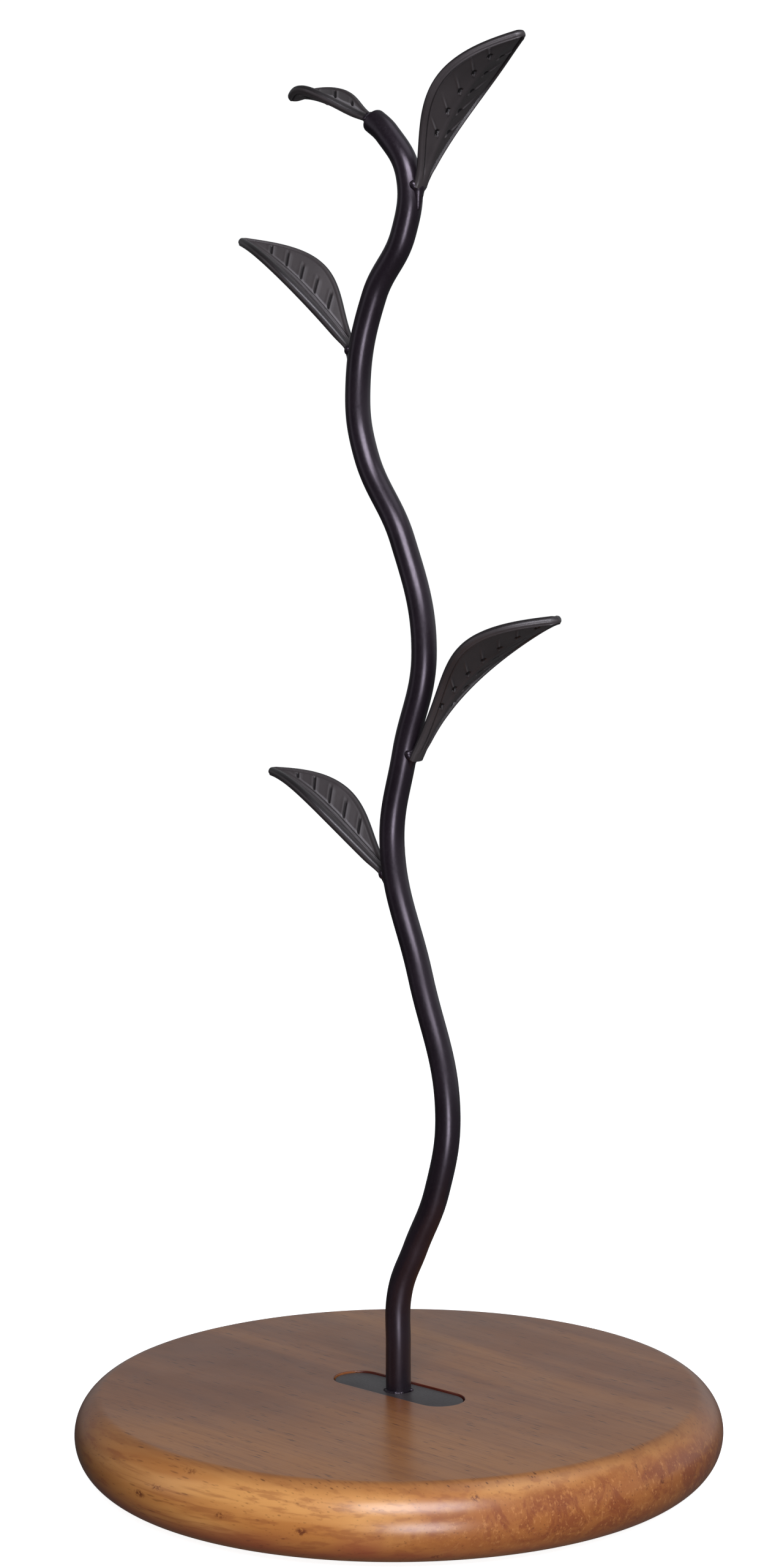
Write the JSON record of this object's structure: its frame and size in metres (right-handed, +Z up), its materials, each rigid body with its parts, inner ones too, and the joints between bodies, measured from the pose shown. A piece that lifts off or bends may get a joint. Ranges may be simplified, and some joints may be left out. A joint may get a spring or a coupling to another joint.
{
  "type": "mug tree",
  "caption": "Free-standing mug tree: a winding rod with folded leaves as hooks, let into a round wooden base with a rounded edge.",
  "frame": {"origin": "bottom centre of the object, on the plane the rubber feet stand on, under the stem", "axes": "+Z up; +X along the foot plate, so the stem's bends and all the leaves lie in the XZ plane; +Y completes it"},
  "size_m": [0.18, 0.18, 0.3954],
  "materials": {
    "stained_wood": "red-brown stain under satin lacquer",
    "black_coated_steel": "satin black powder coat",
    "zinc_plated_steel": "bright zinc plating",
    "black_rubber": "matt moulded rubber"
  },
  "bodies": {
    "root": {"wood_base": "stained_wood", "foot_plate": "black_coated_steel", "stem": "black_coated_steel", "leaf_lower_left": "black_coated_steel", "leaf_middle_right": "black_coated_steel", "leaf_upper_left": "black_coated_steel", "leaf_top_right": "black_coated_steel", "leaf_top_left": "black_coated_steel", "screw_left": "zinc_plated_steel", "screw_right": "zinc_plated_steel", "washer_left": "zinc_plated_steel", "washer_right": "zinc_plated_steel", "spring_washer_left": "zinc_plated_steel", "spring_washer_right": "zinc_plated_steel", "rubber_foot_1": "black_rubber", "rubber_foot_2": "black_rubber", "rubber_foot_3": "black_rubber", "rubber_foot_4": "black_rubber"}
  },
  "joints": []
}
